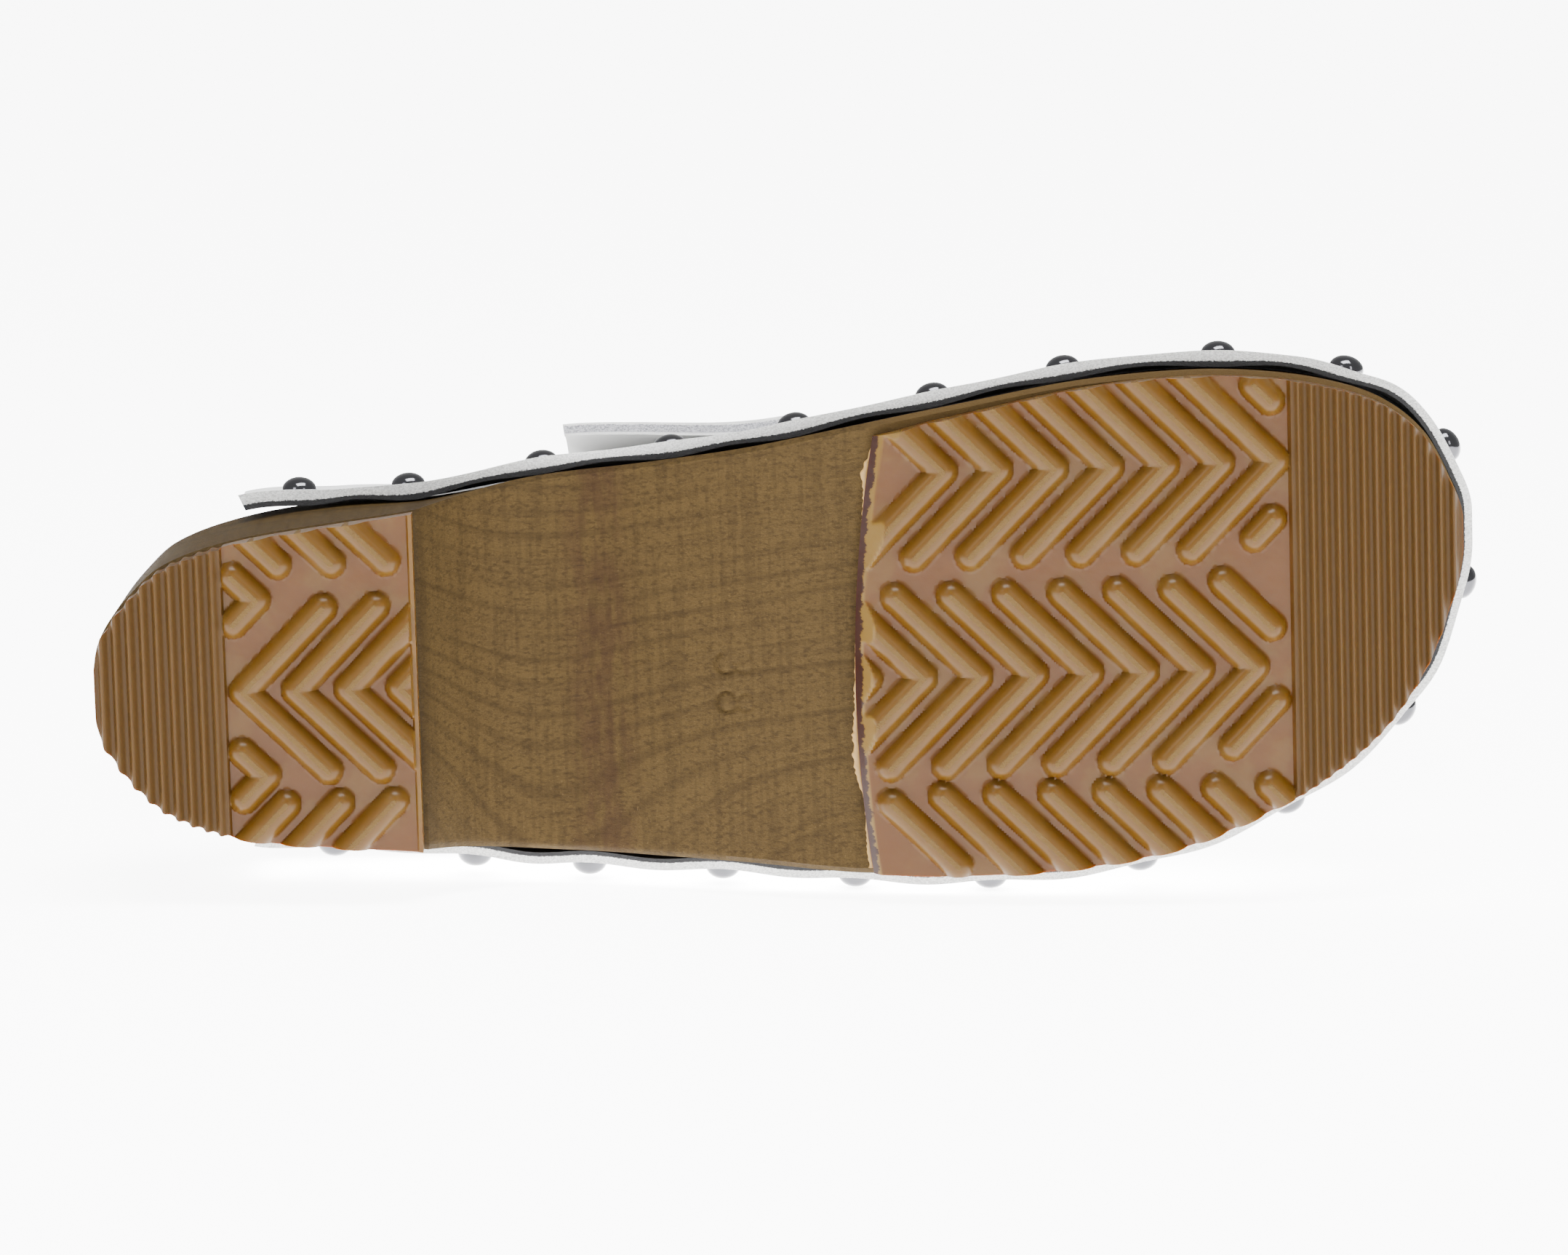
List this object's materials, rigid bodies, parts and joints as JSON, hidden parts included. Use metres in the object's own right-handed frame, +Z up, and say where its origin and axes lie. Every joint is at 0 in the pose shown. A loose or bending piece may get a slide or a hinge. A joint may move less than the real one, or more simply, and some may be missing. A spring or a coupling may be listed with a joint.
{
  "type": "wooden sole clog",
  "caption": "Closed-toe wooden clog with an open heel, instep strap, nailed white leather upper and ribbed rubber treads, lying on its side.",
  "frame": {"origin": "centre of the bounding box's base, on the floor under the shoe as it lies on its outer side", "axes": "+X towards the toe, -Y out of the tread face of the sole, +Z up from the floor towards the inner side of the foot"},
  "size_m": [0.2566, 0.1094, 0.1027],
  "materials": {
    "wood": "matte stained",
    "rubber": "satin translucent crepe",
    "leather": "smooth semi-gloss",
    "chrome": "polished"
  },
  "bodies": {
    "root": {"wooden_sole": "wood", "heel_rubber": "rubber", "forefoot_rubber": "rubber", "upper": "leather", "instep_strap": "leather", "nail_01": "chrome", "nail_02": "chrome", "nail_03": "chrome", "nail_04": "chrome", "nail_05": "chrome", "nail_06": "chrome", "nail_07": "chrome", "nail_08": "chrome", "nail_09": "chrome", "nail_10": "chrome", "nail_11": "chrome", "nail_12": "chrome", "nail_13": "chrome", "nail_14": "chrome", "nail_15": "chrome", "nail_16": "chrome", "nail_17": "chrome", "nail_18": "chrome", "nail_19": "chrome", "nail_20": "chrome"}
  },
  "joints": []
}
